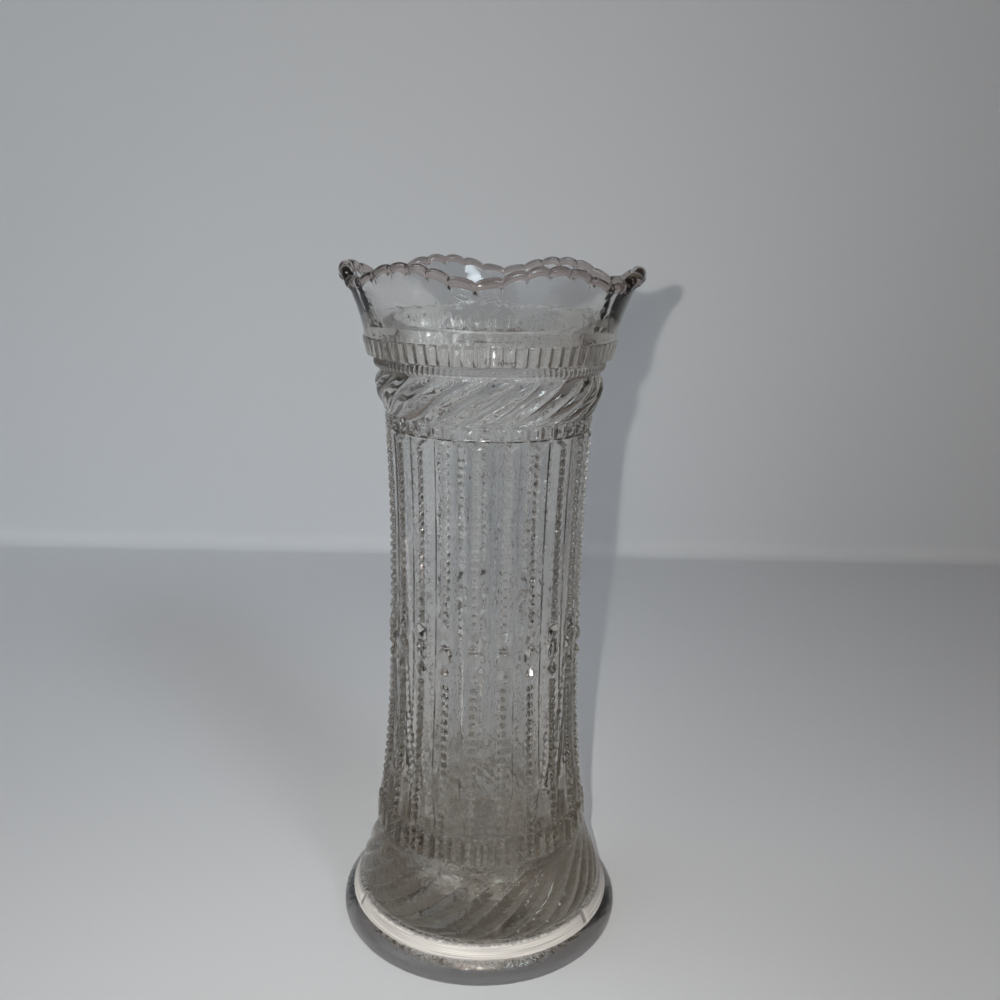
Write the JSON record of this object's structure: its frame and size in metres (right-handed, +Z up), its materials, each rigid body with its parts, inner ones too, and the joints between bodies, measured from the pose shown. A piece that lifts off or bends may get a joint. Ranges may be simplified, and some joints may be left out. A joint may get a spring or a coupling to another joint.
{
  "type": "vase",
  "caption": "Tall waisted pressed glass vase with rope bands, bead columns, a toothed collar and a flared four-lobed rim edged with beads, open at the top to hold stems",
  "frame": {"origin": "middle of the face that the vase stands on, on the axis of the foot", "axes": "+Z up along the axis of the vase, +X through one of the two raised ears of the rim, -Y towards the front corner of the rim"},
  "size_m": [0.087, 0.0872, 0.203],
  "materials": {
    "clear_glass": "clear pressed glass with a faint grey-mauve tint, fire-polished and glossy all over"
  },
  "bodies": {
    "root": {"foot": "clear_glass", "lower_rope_band": "clear_glass", "lower_block_band": "clear_glass", "lower_panels": "clear_glass", "waist_jewel_band": "clear_glass", "upper_panels": "clear_glass", "upper_block_band": "clear_glass", "upper_rope_band": "clear_glass", "toothed_collar": "clear_glass", "flared_rim": "clear_glass"}
  },
  "joints": []
}
